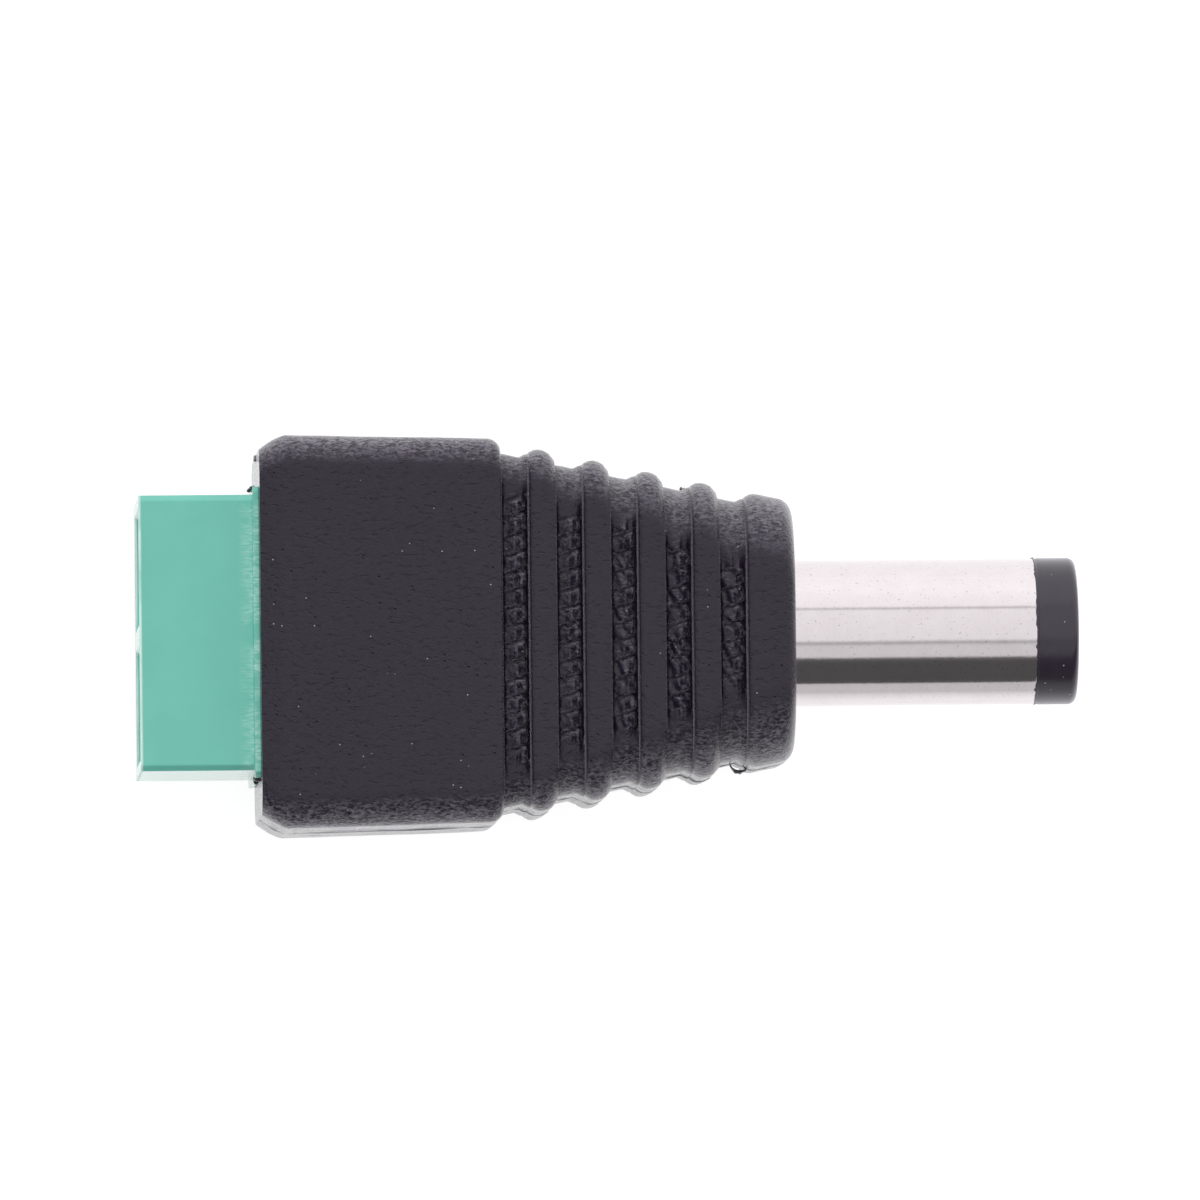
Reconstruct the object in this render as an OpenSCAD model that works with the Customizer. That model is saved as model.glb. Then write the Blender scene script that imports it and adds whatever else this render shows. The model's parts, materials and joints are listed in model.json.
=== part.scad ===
// DC power plug, 5.5 x 2.1 mm, with a two-way rising-cage screw terminal.
// X runs along the barrel and the tip points to +X. X = 0 is the shoulder where the
// barrel leaves the housing. Y runs across the two poles. The screws face -Z, and the
// plug lies on that face. All sizes are millimetres.

/* [Barrel] */
// Outside diameter of the barrel
barrel_d = 5.5; // [5.3:0.1:5.7]
// Length of bare metal in front of the shoulder
sleeve_l = 9.2; // [7:0.1:12]
// Wall of the metal sleeve
sleeve_wall = 0.4; // [0.3:0.05:0.5]
// Length of the insulating ring at the tip
tip_l = 1.55; // [1:0.05:2.5]
// Rounding of the tip ring's front edge
tip_round = 0.3; // [0.1:0.05:0.5]
// Bore of the centre contact
bore_d = 2.1; // [2:0.1:2.5]
// Wall of the centre contact
contact_wall = 0.4; // [0.3:0.05:0.5]
// Depth of the centre contact's bore
bore_l = 9; // [6:0.5:10]
// Distance of the centre contact behind the tip
contact_recess = 0.5; // [0.2:0.1:1]
// Width of the two crossed slits that make the centre contact springy
slit_w = 0.25; // [0.15:0.05:0.4]
// Length of the slits
slit_l = 5; // [3:0.5:6]
// Thickness of the sleeve's flange, buried in the housing
flange_t = 0.9; // [0.6:0.1:1.2]
// How far the flange stands out from the barrel
flange_step = 0.75; // [0.5:0.05:1]
// Length of the undercut in front of the flange
undercut_l = 0.9; // [0.5:0.1:1.2]
// Depth of the undercut
undercut_d = 0.2; // [0.1:0.05:0.25]
// How far inside the shoulder the undercut starts
undercut_set = 0.1; // [0.05:0.05:0.3]

/* [Solder lugs] */
// Sheet thickness of both lugs
lug_t = 0.4; // [0.3:0.05:0.6]
// How much smaller the lugs are than the flange, all round
lug_in = 0.1; // [0:0.05:0.3]
// Width of the lugs' tabs
tab_w = 3.6; // [3:0.1:4.5]
// Thickness of the insulating washer between the lugs
washer_t = 0.6; // [0.4:0.1:1]
// Gap between that washer and the tab beside it
washer_gap = 0.15; // [0.1:0.05:0.3]
// Diameter of the riveted stub at the back of the centre contact
stub_d = 1.6; // [1.2:0.1:2]
// Height of the riveted head on that stub
rivet_h = 0.4; // [0.2:0.1:0.6]
// Width of a contact strip's tail
tail_w = 1.6; // [1.2:0.1:1.8]
// Length of that tail behind the block
tail_l = 6.1; // [5:0.1:6.5]
// Length over which the strip closes in from its pole to its tab
jog_l = 1.2; // [1:0.1:2]
// Length over which tail and tab lie together
joint_l = 2.5; // [1.8:0.1:3]
// Radius of a solder lump
solder_r = 0.75; // [0.5:0.05:0.8]

/* [Screw clamps] */
// Distance between the two poles
pole_pitch = 5.08; // [5:0.01:5.4]
// Diameter of the screw's shank
screw_d = 2.5; // [2:0.1:2.6]
// Diameter of the screw's head
head_d = 3.4; // [3:0.1:3.4]
// Height of the screw's head
head_t = 1.3; // [1:0.1:1.8]
// Width of the driver slot
slot_w = 0.6; // [0.4:0.1:0.8]
// How far a screw's tip stands inside the bridge of its open cage
screw_set = 0.05; // [0.03:0.01:0.2]
// Depth of the driver slot
slot_deep = 0.8; // [0.4:0.1:0.9]
// Length of the short slot that crosses it
cross_l = 2; // [1.4:0.1:2.4]
// Radial play of the shank in the cage
thread_play = 0.05; // [0.02:0.01:0.08]
// Play of the head all round
head_play = 0.05; // [0.03:0.01:0.1]
// How far a cage rises from open to shut
travel = 2; // [1.5:0.1:2.5]
// Clear height left for a wire when the cage is shut
shut_gap = 0.15; // [0.1:0.05:0.4]
// Length of a cage along the wire
cage_l = 3.4; // [3.2:0.1:3.5]
// Sheet thickness of the cage's sides and floor
cage_sheet = 0.5; // [0.4:0.05:0.6]
// Thickness of the cage's threaded bridge
bridge_t = 0.9; // [0.7:0.1:1.2]
// Play between a cage and its chamber
cage_play = 0.15; // [0.1:0.05:0.2]
// Play under an open cage
floor_play = 0.05; // [0.03:0.01:0.1]
// Play between a cage and the contact strip inside it
strip_play = 0.15; // [0.1:0.05:0.2]
// Width of a contact strip
strip_w = 2.5; // [2.2:0.1:2.6]
// Thickness of a contact strip
strip_t = 0.6; // [0.4:0.1:0.8]
// How far a strip's tip lies behind the front of its cage
strip_set = 0.3; // [0.1:0.1:0.6]
// Depth of a strip's barbs and of its broken tip corners
barb_d = 0.2; // [0.1:0.05:0.25]
// Length of a barb
barb_l = 1; // [0.5:0.1:1.5]

/* [Terminal block] */
// Length of block outside the housing
block_out = 4.5; // [4.5:0.1:6]
// Length of block inside the housing
block_in = 5; // [4:0.1:6]
// Wall on the blank side of the wire chambers
block_floor = 0.7; // [0.5:0.1:1]
// Wall beside the wire chambers
block_side = 0.56; // [0.4:0.02:0.8]
// Ledge under the screw heads
ledge_t = 0.5; // [0.4:0.1:0.8]
// Lip that keeps the screws in
lip_t = 0.5; // [0.3:0.1:0.8]
// How far the lip reaches over a screw's head
lip_over = 0.25; // [0.1:0.05:0.4]
// Distance from the wire entry face to a cage
entry_deep = 0.6; // [0.5:0.1:0.8]
// Lead-in round each wire entry
lead_in = 0.12; // [0.05:0.01:0.2]
// Broken edges of the block
block_edge = 0.2; // [0.1:0.05:0.3]
// Thickness of the rim that meets the housing's mouth
rim_t = 0.25; // [0.15:0.05:0.3]
// How far that rim and the anchor stand out from the block
rim_out = 0.28; // [0.2:0.02:0.4]
// Length of the anchor at the block's buried end
anchor_l = 1; // [0.6:0.1:1.5]
// Distance of that anchor from the end
anchor_set = 0.4; // [0.2:0.1:0.8]

/* [Housing] */
// Length of the housing from its mouth to the shoulder
housing_l = 20; // [19:0.1:22]
// Length of the plain box
box_l = 9.04; // [8.5:0.1:10]
// Width of the box at its mouth
box_w = 14.76; // [14:0.02:16]
// Width of the box at its front edge
box_front_w = 14.32; // [13.8:0.02:15]
// Wall over the block on the two wide faces
box_wall = 1.1; // [0.8:0.1:1.5]
// Rounding of the box's long edges
box_round = 1.25; // [0.8:0.05:1.6]
// Length of the box's drawn-in mouth
mouth_l = 1; // [0.5:0.1:1.5]
// How much each side is drawn in at the mouth
mouth_in = 0.55; // [0.2:0.05:0.7]
// How much the two wide faces draw in there
mouth_down = 0.15; // [0.05:0.05:0.4]
// Number of grooves
groove_n = 5; // [3:1:6]
// Width of a groove
groove_w = 0.97; // [0.8:0.01:1.1]
// Depth of the grooves on the two wide faces
groove_d = 0.55; // [0.3:0.05:0.6]
// Depth of the grooves on the two narrow sides
groove_side_d = 0.42; // [0.2:0.02:0.5]
// Width over the ribs where they start
rib_start_w = 14.12; // [13.5:0.02:14.6]
// Thickness over the ribs where they start
rib_start_t = 11.6; // [11:0.1:12]
// Edge rounding of the ribs on the wide faces
rib_round = 0.2; // [0.1:0.05:0.3]
// Length of the plain collar at the shoulder
collar_l = 1.85; // [1.2:0.05:2.5]
// Width of the collar at the shoulder
collar_w = 9.7; // [9.4:0.02:11]
// Thickness of the collar at the shoulder
collar_t = 10.6; // [10:0.1:11]
// Rounding of the collar's long edges
collar_round = 3; // [1.5:0.1:3.3]
// Rounding of the shoulder's edge
shoulder_round = 0.5; // [0.2:0.05:0.8]
// Plastic over the lugs in the inner mould
mould_cover = 0.45; // [0.3:0.05:0.5]

/* [Hidden] */
$fn = 64;
POS = 1;        // the pole joined to the centre contact, at +Y
NEG = -1;       // the pole joined to the sleeve, at -Y
over = 0.5;     // overshoot of a cut past an open face
slice = 0.01;   // thin end of a hull

// Barrel
barrel_r = barrel_d / 2;
sleeve_bore_r = barrel_r - sleeve_wall;
contact_r = bore_d / 2 + contact_wall;
tip_x = sleeve_l + tip_l;
contact_x = tip_x - contact_recess;
undercut_x = -undercut_set;
flange_front_x = undercut_x - undercut_l;
flange_x = flange_front_x - flange_t;
flange_r = barrel_r + flange_step;

// Lugs, one behind the other at the back of the flange
lug_r = flange_r - lug_in;
tab_y = lug_r - lug_t;                      // inner face of both tabs
sleeve_lug_x = flange_x - lug_t;
washer_x = sleeve_lug_x - washer_t;
centre_lug_x = washer_x - lug_t;
washer_r = tab_y - washer_gap;
eye_r = stub_d;                             // the centre lug's eye

// Screw clamp, as heights above the blank face's inner wall and towards the heads
cage_w = strip_w + 2 * (strip_play + cage_sheet);
chamber_w = cage_w + 2 * cage_play;
cage_z = block_floor + floor_play;
wire_z = cage_z + cage_sheet;
strip_z = wire_z + travel + shut_gap;
bridge_z = strip_z + strip_t + strip_play;
cage_h = bridge_z + bridge_t - cage_z;
chamber_top = bridge_z + bridge_t + travel + cage_play;
well_z = chamber_top + ledge_t;
head_z = well_z + head_play;
lip_z = head_z + head_t + head_play;
block_t = lip_z + lip_t;

// Terminal block
block_w = pole_pitch + chamber_w + 2 * block_side;
block_x = -housing_l - block_out;
block_end_x = -housing_l + block_in;
screw_x = block_x + entry_deep + cage_l / 2;
chamber_end_x = block_x + entry_deep + cage_l + cage_play;
strip_x = block_x + entry_deep + strip_set;
strip_mid_z = block_t / 2 - strip_z - strip_t / 2;   // in the part's own frame
tail_x = block_end_x + tail_l;
tab_x = tail_x - joint_l;

// Housing
box_t = block_t + 2 * box_wall;
box_x = -housing_l + box_l;                 // front edge of the box
collar_x = -collar_l;
rib_w = (collar_x - box_x - groove_n * groove_w) / (groove_n - 1);
mould_w = 2 * (lug_r + mould_cover);
rib_steps = [0, 0.07, 0.16, 0.3, 0.5, 0.7, 0.84, 0.93];
edge_steps = [1, 0.7, 0.4, 0.2, 0.07];
corner_n = 7;                               // facets in a rounded corner

function mix(a, b, t) = a + (b - a) * t;
function quarter_round(d, r) = d <= 0 ? 0 : d >= r ? 1 : sqrt(1 - pow(1 - d / r, 2));
function along_ribs(x) = (x - box_x) / -box_x;

// Distance from x back into the rib, box or collar that it lies in, or 0 in a groove
function into_rib(x) =
    x <= box_x ? box_x - x :
    x >= collar_x ? x - collar_x :
    let (p = groove_w + rib_w, u = (x - box_x) % p)
    u <= groove_w ? 0 : min(u - groove_w, p - u);

// Half sizes of the housing at x, with the grooves cut to a floor that follows the taper
function drawn_in(x) = pow(max(0, 1 - (x + housing_l) / mouth_l), 1.4);
function shoulder_in(x) = 1 - quarter_round(-x, shoulder_round);
function rib_half(start, end, x) = mix(start, end, along_ribs(x)) / 2;
function half_w(x) = x <= box_x
    ? mix(rib_start_w / 2 - groove_side_d,
          mix(box_w, box_front_w, (x + housing_l) / box_l) / 2 - mouth_in * drawn_in(x),
          quarter_round(box_x - x, rib_w / 2))
    : rib_half(rib_start_w, collar_w, x) - shoulder_round * shoulder_in(x)
      - groove_side_d * (1 - quarter_round(into_rib(x), rib_w / 2));
function half_t(x) = x <= box_x
    ? mix(rib_start_t / 2 - groove_d, box_t / 2 - mouth_down * drawn_in(x),
          quarter_round(box_x - x, rib_round))
    : rib_half(rib_start_t, collar_t, x) - shoulder_round * shoulder_in(x)
      - groove_d * (1 - quarter_round(into_rib(x), rib_round));
function corner(x) = x <= box_x ? box_round : mix(box_round, collar_round, along_ribs(x));

// Where the housing's cross-sections stand along X
stations = [
    for (t = [0, 0.1, 0.3, 0.6, 1]) -housing_l + mouth_l * t,
    (box_x - rib_w / 2 + mouth_l - housing_l) / 2,
    for (t = edge_steps) box_x - rib_w / 2 * t,
    for (g = [0 : groove_n - 1])
        let (x0 = box_x + g * (groove_w + rib_w))
        each [x0, x0 + groove_w / 2,
              if (g < groove_n - 1) for (t = rib_steps) x0 + groove_w + rib_w * t],
    for (t = rib_steps) if (t <= 0.5) collar_x + rib_w * t,
    for (t = edge_steps) -shoulder_round * t,
    0
];

// Rounded rectangle across X, as a closed ring of points
function ring(x) =
    let (r = corner(x), w = half_w(x) - r, t = half_t(x) - r)
    [for (c = [0:3], i = [0:corner_n])
        let (a = 90 * c + 90 * i / corner_n,
             sy = c == 0 || c == 3 ? 1 : -1, sz = c < 2 ? 1 : -1)
        [x, sy * w + r * cos(a), sz * t + r * sin(a)]];

// Closed skin through rings of equal length
module loft(rings) {
    n = len(rings[0]);
    m = len(rings);
    polyhedron(
        points = [for (r = rings) each r],
        faces = [
            [for (j = [0 : n - 1]) j],
            for (i = [0 : m - 2], j = [0 : n - 1])
                let (a = i * n + j, b = i * n + (j + 1) % n)
                each [[a, a + n, b + n], [a, b + n, b]],
            [for (j = [n - 1 : -1 : 0]) (m - 1) * n + j]
        ]);
}

// Box centred on the X axis, from x0 to x1, with broken edges on its four long sides
module bar(x0, x1, w, t, edge) {
    translate([x0, 0, 0]) rotate([90, 0, 90]) linear_extrude(x1 - x0)
        polygon([for (s = [[1, 1], [-1, 1], [-1, -1], [1, -1]]) each
            let (a = [s.x * (w / 2 - edge), s.y * t / 2], b = [s.x * w / 2, s.y * (t / 2 - edge)])
            s.x * s.y > 0 ? [b, a] : [a, b]]);
}

// Round bar or ring on the X axis
module disc(x0, x1, r) {
    translate([x0, 0, 0]) rotate([0, 90, 0]) cylinder(h = x1 - x0, r = r);
}

// Turned piece on the X axis, from an outline of [x, radius] points
module turned(outline) {
    rotate([0, 90, 0]) rotate_extrude() polygon([for (p = outline) [p.y, p.x]]);
}

// Puts a clamp piece at its pole, with its height measured from the blank face to the heads
module at_pole(side) {
    translate([screw_x, side * pole_pitch / 2, block_t / 2]) rotate([180, 0, 0]) children();
}

// Puts a flat piece drawn for the +Y pole on either pole
module on_side(side) {
    mirror([0, side < 0 ? 1 : 0, 0]) children();
}

// What the sleeve fills in the housing
module sleeve_body(front_x) {
    turned([[flange_x, 0], [flange_x, flange_r], [flange_front_x, flange_r],
            [flange_front_x, barrel_r - undercut_d], [undercut_x, barrel_r - undercut_d],
            [undercut_x, barrel_r], [front_x, barrel_r], [front_x, 0]]);
}

module block_body() {
    bar(block_x, block_end_x, block_w, block_t, block_edge);
    bar(-housing_l - rim_t, -housing_l, block_w + 2 * rim_out, block_t + 2 * rim_out, block_edge);
    bar(block_end_x - anchor_set - anchor_l, block_end_x - anchor_set, block_w + 2 * rim_out,
        block_t + 2 * rim_out, block_edge);
}

// Tapered block behind the flange that seals the joints before the housing is moulded
module mould_body() {
    back = block_w / 2;
    front = mould_w / 2;
    translate([0, 0, -mould_w / 2]) linear_extrude(mould_w)
        polygon([[block_end_x, -back], [box_x, -back], [flange_x, -front],
                 [flange_x, front], [box_x, back], [block_end_x, back]]);
}

module housing() {
    color("#35323a") difference() {
        loft([for (x = stations) ring(x)]);
        block_body();
        mould_body();
        sleeve_body(over);
    }
}

// Room for one clamp: the wire chamber, its lead-in, the screw's well and the lip's hole
module clamp_room() {
    front = block_x - screw_x;
    back = chamber_end_x - screw_x;
    translate([front - over, -chamber_w / 2, block_floor])
        cube([back - front + over, chamber_w, chamber_top - block_floor]);
    hull() for (s = [-1, 1]) let (flare = lead_in * (1 - s))
        translate([front + s * lead_in, -chamber_w / 2 - flare, block_floor - flare])
            cube([slice, chamber_w + 2 * flare, chamber_top - block_floor + 2 * flare]);
    translate([0, 0, chamber_top - over])
        cylinder(h = ledge_t + 2 * over, r = screw_d / 2 + 2 * thread_play);
    translate([0, 0, well_z]) cylinder(h = lip_z - well_z, r = head_d / 2 + 2 * head_play);
    translate([0, 0, well_z]) cylinder(h = block_t - well_z + over, r = head_d / 2 - lip_over);
}

module terminal_block() {
    color("#6fc0ae") difference() {
        block_body();
        for (side = [POS, NEG]) {
            at_pole(side) clamp_room();
            contact_strip(side);
        }
    }
}

module screw(side) {
    color("silver") at_pole(side) difference() {
        union() {
            translate([0, 0, bridge_z + screw_set]) cylinder(h = head_z - bridge_z, d = screw_d);
            translate([0, 0, head_z]) cylinder(h = head_t, d = head_d);
        }
        translate([-head_d, -slot_w / 2, head_z + head_t - slot_deep])
            cube([2 * head_d, slot_w, slot_deep + over]);
        translate([-slot_w / 2, -cross_l / 2, head_z + head_t - slot_deep])
            cube([slot_w, cross_l, slot_deep + over]);
    }
}

module cage(side) {
    color("lightgray") at_pole(side) difference() {
        translate([-cage_l / 2, -cage_w / 2, cage_z]) cube([cage_l, cage_w, cage_h]);
        translate([-cage_l / 2 - over, -cage_w / 2 + cage_sheet, wire_z])
            cube([cage_l + 2 * over, cage_w - 2 * cage_sheet, bridge_z - wire_z]);
        translate([0, 0, bridge_z - over])
            cylinder(h = bridge_t + 2 * over, r = screw_d / 2 + thread_play);
    }
}

// Flat strip from the clamp through the block to its solder joint
module contact_strip(side) {
    y0 = pole_pitch / 2 - strip_w / 2;
    y1 = pole_pitch / 2 + strip_w / 2;
    barb_x = (chamber_end_x + block_end_x) / 2;
    color("gold") on_side(side) translate([0, 0, strip_mid_z - strip_t / 2])
        linear_extrude(strip_t) polygon([
            [strip_x, y0 + barb_d], [strip_x + barb_d, y0],
            [barb_x, y0], [barb_x + barb_l, y0 - barb_d], [barb_x + barb_l, y0],
            [block_end_x, y0], [block_end_x + jog_l / 2, tab_y - tail_w], [tail_x, tab_y - tail_w],
            [tail_x, tab_y], [block_end_x + jog_l, tab_y], [block_end_x, y1],
            [barb_x + barb_l, y1], [barb_x + barb_l, y1 + barb_d], [barb_x, y1],
            [strip_x + barb_d, y1], [strip_x, y1 - barb_d]]);
}

module inner_mould() {
    color("whitesmoke") difference() {
        mould_body();
        contact_strip(POS);
        contact_strip(NEG);
        sleeve_lug();
        centre_lug();
        solder(POS);
        solder(NEG);
        insulating_washer();
        disc(washer_x - over, flange_x + over, sleeve_bore_r);
        rivet();
    }
}

module barrel_sleeve() {
    color("silver") difference() {
        sleeve_body(sleeve_l);
        disc(flange_x - over, sleeve_l + over, sleeve_bore_r);
    }
}

// Liner between sleeve and centre contact, with the ring that closes the tip
module barrel_insulator() {
    round_n = 6;
    color("#2b2a2e") turned([
        [sleeve_lug_x, contact_r], [sleeve_lug_x, sleeve_bore_r], [sleeve_l, sleeve_bore_r],
        [sleeve_l, barrel_r],
        for (i = [0:round_n]) let (a = 90 * i / round_n)
            [tip_x - tip_round * (1 - sin(a)), barrel_r - tip_round * (1 - cos(a))],
        [tip_x, contact_r + contact_recess / 2], [contact_x, contact_r]]);
}

// Head of the stub, peened over the centre lug
module rivet() {
    turned([[centre_lug_x, 0], [centre_lug_x, stub_d / 2 + rivet_h],
            [centre_lug_x - rivet_h, stub_d / 2], [centre_lug_x - rivet_h, 0]]);
}

module centre_contact() {
    color("silver") {
        difference() {
            disc(sleeve_lug_x, contact_x, contact_r);
            disc(contact_x - bore_l, contact_x + over, bore_d / 2);
            for (a = [0, 90]) rotate([a, 0, 0])
                translate([contact_x - slit_l, -slit_w / 2, -barrel_r])
                    cube([slit_l + over, slit_w, barrel_d]);
        }
        disc(centre_lug_x, sleeve_lug_x, stub_d / 2);
        rivet();
    }
}

module insulating_washer() {
    color("saddlebrown") difference() {
        disc(washer_x, sleeve_lug_x, washer_r);
        disc(washer_x - over, sleeve_lug_x + over, stub_d / 2);
    }
}

// Tab that runs back from a lug beside its contact strip, with a rounded end
module tab(x) {
    translate([0, tab_y, 0]) rotate([-90, 0, 0]) {
        translate([tab_x + tab_w / 4, -tab_w / 2, 0]) cube([x - tab_x - tab_w / 4, tab_w, lug_t]);
        translate([tab_x, -tab_w / 4, 0]) cube([tab_w / 2, tab_w / 2, lug_t]);
        for (s = [-1, 1]) translate([tab_x + tab_w / 4, s * tab_w / 4, 0])
            cylinder(h = lug_t, r = tab_w / 4);
    }
}

module sleeve_lug() {
    color("silver") difference() {
        union() {
            disc(sleeve_lug_x, flange_x, lug_r);
            on_side(NEG) translate([sleeve_lug_x, sleeve_bore_r, -tab_w / 2])
                cube([lug_t, lug_r - sleeve_bore_r, tab_w]);
            on_side(NEG) tab(flange_x);
        }
        disc(sleeve_lug_x - over, flange_x + over, sleeve_bore_r);
    }
}

module centre_lug() {
    color("silver") difference() {
        union() {
            disc(centre_lug_x, washer_x, eye_r);
            translate([centre_lug_x, 0, -eye_r]) cube([lug_t, lug_r, 2 * eye_r]);
            tab(washer_x);
        }
        disc(centre_lug_x - over, washer_x + over, stub_d / 2);
    }
}

// Solder above and below a strip's tail, in its corner with the tab
module solder(side) {
    color("gainsboro") on_side(side) difference() {
        translate([tail_x - joint_l / 2, tab_y, strip_mid_z]) sphere(r = solder_r);
        translate([tab_x - over, tab_y, strip_mid_z - 2 * solder_r])
            cube([joint_l + 2 * over, 2 * solder_r, 4 * solder_r]);
        contact_strip(POS);
    }
}

housing();
terminal_block();
screw(POS);  // screw_pos
screw(NEG);  // screw_neg
cage(POS);  // cage_pos
cage(NEG);  // cage_neg
contact_strip(POS);  // contact_strip_pos
contact_strip(NEG);  // contact_strip_neg
inner_mould();
barrel_sleeve();
barrel_insulator();
centre_contact();
insulating_washer();
sleeve_lug();
centre_lug();
solder(POS);  // solder_pos
solder(NEG);  // solder_neg
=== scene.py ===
import json
import math

import bmesh
import bpy
import numpy as np
from mathutils import Matrix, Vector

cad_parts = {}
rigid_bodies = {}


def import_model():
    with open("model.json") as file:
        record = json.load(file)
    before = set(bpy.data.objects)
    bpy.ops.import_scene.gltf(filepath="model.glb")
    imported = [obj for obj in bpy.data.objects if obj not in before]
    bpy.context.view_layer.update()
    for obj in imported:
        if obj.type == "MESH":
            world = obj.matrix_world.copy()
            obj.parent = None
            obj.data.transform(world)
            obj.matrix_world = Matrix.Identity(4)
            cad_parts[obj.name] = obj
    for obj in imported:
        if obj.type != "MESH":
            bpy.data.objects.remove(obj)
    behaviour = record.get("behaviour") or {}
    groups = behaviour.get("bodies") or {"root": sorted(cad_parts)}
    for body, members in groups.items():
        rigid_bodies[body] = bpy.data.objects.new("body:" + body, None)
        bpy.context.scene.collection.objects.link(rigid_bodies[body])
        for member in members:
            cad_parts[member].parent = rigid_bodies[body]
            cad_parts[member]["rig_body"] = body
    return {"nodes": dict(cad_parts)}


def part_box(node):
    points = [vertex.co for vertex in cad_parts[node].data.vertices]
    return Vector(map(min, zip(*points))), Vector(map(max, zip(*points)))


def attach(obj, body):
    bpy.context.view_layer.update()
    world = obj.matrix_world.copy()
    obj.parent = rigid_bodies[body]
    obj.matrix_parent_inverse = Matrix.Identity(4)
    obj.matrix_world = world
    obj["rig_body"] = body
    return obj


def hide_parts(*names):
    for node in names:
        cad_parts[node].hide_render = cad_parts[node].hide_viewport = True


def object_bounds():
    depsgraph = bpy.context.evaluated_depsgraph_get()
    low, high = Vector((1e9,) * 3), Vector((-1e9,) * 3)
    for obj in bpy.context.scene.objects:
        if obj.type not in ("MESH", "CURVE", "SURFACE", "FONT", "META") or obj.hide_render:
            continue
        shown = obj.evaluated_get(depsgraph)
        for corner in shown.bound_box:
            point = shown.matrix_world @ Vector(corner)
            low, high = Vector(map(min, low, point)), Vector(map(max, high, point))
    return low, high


# DC barrel plug with a screw terminal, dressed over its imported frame.
# Lengths in the dictionaries are millimetres, and mm turns them into Blender's metres.
# X runs to the barrel's tip, Y across the poles, and the wide face without screws is up.

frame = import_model()
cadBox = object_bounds()
mm = 0.001
weldGap = 1e-7    # points closer than this, in metres, become one
sharpFold = 35.0  # edges folded by more degrees than this are shaded sharp
print("frame:", len(frame["nodes"]), "nodes")


def linear(hexColour):
    # sRGB hex to linear RGBA: c / 12.92 up to 0.04045, else ((c + 0.055) / 1.055)^2.4
    c = np.array([int(hexColour[i:i + 2], 16) for i in (1, 3, 5)]) / 255
    c = np.where(c <= 0.04045, c / 12.92, ((c + 0.055) / 1.055) ** 2.4)
    return (*c.tolist(), 1.0)


def nodeBox(name):  # lowest and highest corner of a CAD node, in millimetres
    lo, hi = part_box(name)
    return np.array(lo) / mm, np.array(hi) / mm


def smoothStep(value, low, high):  # 3t^2 - 2t^3 of the value's share of the way from low to high
    t = np.clip((value - low) / (high - low), 0, 1)
    return t * t * (3 - 2 * t)


def quarterRound(depth, radius):  # height of a quarter circle at a depth into it, from 0 to 1
    return np.sqrt(np.clip(1 - (1 - np.clip(depth / radius, 0, 1)) ** 2, 0, 1))


def steps(start, end, count):  # even steps from start towards end, which is left out
    return np.linspace(start, end, count, endpoint=False)


def uneven(u, v, size, seed):
    # smooth random field from -1 to 1: lattice values a size apart, blended with smooth steps
    table = np.random.default_rng(seed).uniform(-1, 1, (256, 256))
    iu, iv = np.floor(u / size).astype(int), np.floor(v / size).astype(int)
    fu, fv = smoothStep(u / size - iu, 0, 1), smoothStep(v / size - iv, 0, 1)
    a, b = table[iu % 256, iv % 256], table[(iu + 1) % 256, iv % 256]
    c, d = table[iu % 256, (iv + 1) % 256], table[(iu + 1) % 256, (iv + 1) % 256]
    return (a * (1 - fu) + b * fu) * (1 - fv) + (c * (1 - fu) + d * fu) * fv


def gridFaces(rows, cols, closeRows=True, closeCols=True):
    # one quad for each cell of a rows x cols grid, joined end to start where closed
    r = np.arange(rows if closeRows else rows - 1)[:, None]
    c = np.arange(cols if closeCols else cols - 1)[None, :]
    r2, c2 = (r + 1) % rows, (c + 1) % cols
    return np.stack([r * cols + c, r * cols + c2, r2 * cols + c2, r2 * cols + c], -1).reshape(-1, 4)


def addPiece(name, points, faces, body, material, sharpAngle=sharpFold):
    # a mesh from points in millimetres, welded where points meet, with its faces turned outwards
    mesh = bpy.data.meshes.new(name)
    mesh.from_pydata((points.reshape(-1, 3) * mm).tolist(), [], faces.tolist())
    bm = bmesh.new()
    bm.from_mesh(mesh)
    bmesh.ops.remove_doubles(bm, verts=bm.verts, dist=weldGap)
    bmesh.ops.recalc_face_normals(bm, faces=bm.faces)
    bm.to_mesh(mesh)
    bm.free()
    mesh.shade_smooth()
    mesh.set_sharp_from_angle(angle=math.radians(sharpAngle))
    piece = bpy.data.objects.new(name, mesh)
    bpy.context.scene.collection.objects.link(piece)
    mesh.materials.append(material)
    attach(piece, body)
    return piece


def turned(profile, segments):
    # a profile of (x, radius) turned round the X axis: (x, r cos a, r sin a) on a grid
    a = steps(0, 2 * np.pi, segments)
    x, r = profile[:, :1], profile[:, 1:]
    return np.stack([x + 0 * a, r * np.cos(a), r * np.sin(a)], -1)


def arc(centreX, centreR, radius, start, end, count):  # points of an arc in the (x, radius) plane
    a = np.radians(np.linspace(start, end, count))
    return np.stack([centreX + radius * np.cos(a), centreR + radius * np.sin(a)], -1)


def straight(start, end, radius, count):  # points of a line at one radius in the same plane
    return np.stack([np.linspace(start, end, count), np.full(count, radius)], -1)


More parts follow.
